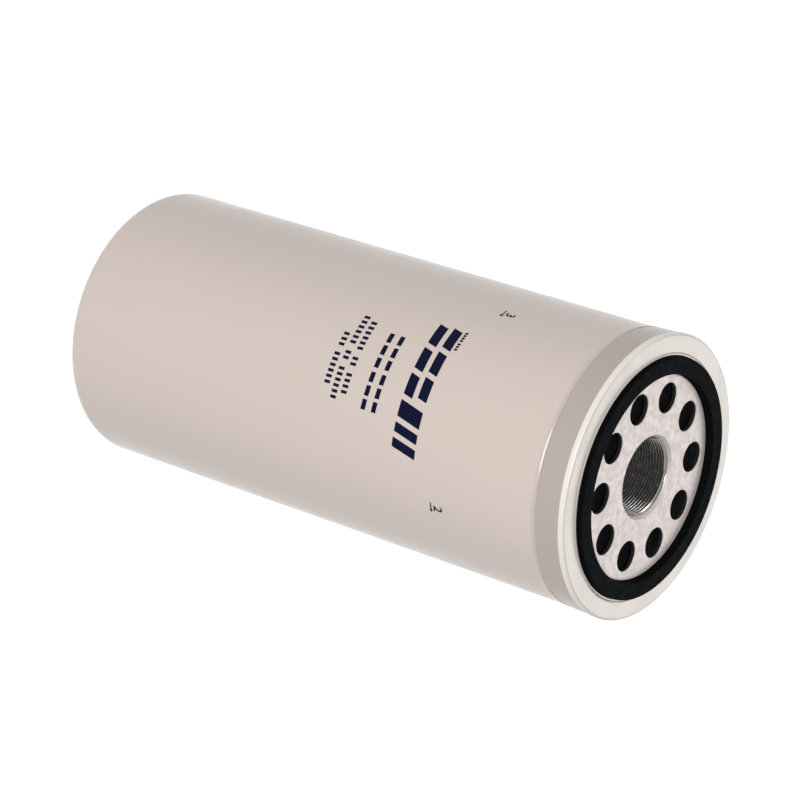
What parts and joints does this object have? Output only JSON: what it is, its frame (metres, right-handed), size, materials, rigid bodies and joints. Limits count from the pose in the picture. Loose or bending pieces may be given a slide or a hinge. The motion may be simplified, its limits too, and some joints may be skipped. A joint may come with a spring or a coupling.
{
  "type": "spin-on oil filter",
  "caption": "Large spin-on engine oil filter: steel can with a seamed lid, threaded base plate, inlet ports, raised gasket and a sprung pleated element inside.",
  "frame": {"origin": "centre of the can's closed end, at the plane that the filter stands on", "axes": "+Z along the thread axis, from the closed end towards the open, threaded end; X and Y are square to it, and the ten ports start 6.3 degrees from +X"},
  "size_m": [0.1382, 0.1382, 0.3076],
  "materials": {
    "body_paint": "gloss cream baked paint",
    "plate_steel": "bare fine-grained plated steel",
    "gasket_rubber": "satin black nitrile",
    "valve_rubber": "matt black nitrile",
    "seal_rubber": "matt brown nitrile",
    "cap_steel": "tinned steel sheet",
    "tube_steel": "tinned steel sheet",
    "filter_paper": "resin-treated filter paper",
    "potting_resin": "cured plastisol and glue",
    "spring_steel": "drawn spring wire"
  },
  "bodies": {
    "housing": {"can_shell": "body_paint", "seaming_lid": "body_paint", "base_plate": "plate_steel", "sealing_gasket": "gasket_rubber", "element_spring": "spring_steel"},
    "element": {"inner_seal_grommet": "seal_rubber", "top_end_cap": "cap_steel", "bottom_end_cap": "cap_steel", "center_tube": "tube_steel", "pleated_media": "filter_paper", "media_seam_clip": "cap_steel", "top_potting": "potting_resin", "bottom_potting": "potting_resin", "pleat_bead_lower": "potting_resin", "pleat_bead_middle": "potting_resin", "pleat_bead_upper": "potting_resin", "bypass_seat_washer": "valve_rubber", "bypass_cage": "cap_steel", "bypass_spring": "spring_steel"},
    "drainback_valve": {"anti_drainback_valve": "valve_rubber"},
    "bypass_valve": {"bypass_poppet": "cap_steel"}
  },
  "joints": [
    {"name": "element_float", "type": "slide", "parent": "housing", "child": "element", "axis": [0, 0, -1], "range_m": [0, 0.004], "stiffness_N_per_m": 4000, "springref_m": -0.01, "deforming": ["element_spring"]},
    {"name": "drainback_open", "type": "slide", "parent": "housing", "child": "drainback_valve", "axis": [0, 0, -1], "range_m": [0, 0.0018], "stiffness_N_per_m": 300, "springref_m": -0.002},
    {"name": "bypass_lift", "type": "slide", "parent": "element", "child": "bypass_valve", "axis": [0, 0, 1], "range_m": [0, 0.004], "stiffness_N_per_m": 5000, "springref_m": -0.01, "deforming": ["bypass_spring"]}
  ]
}
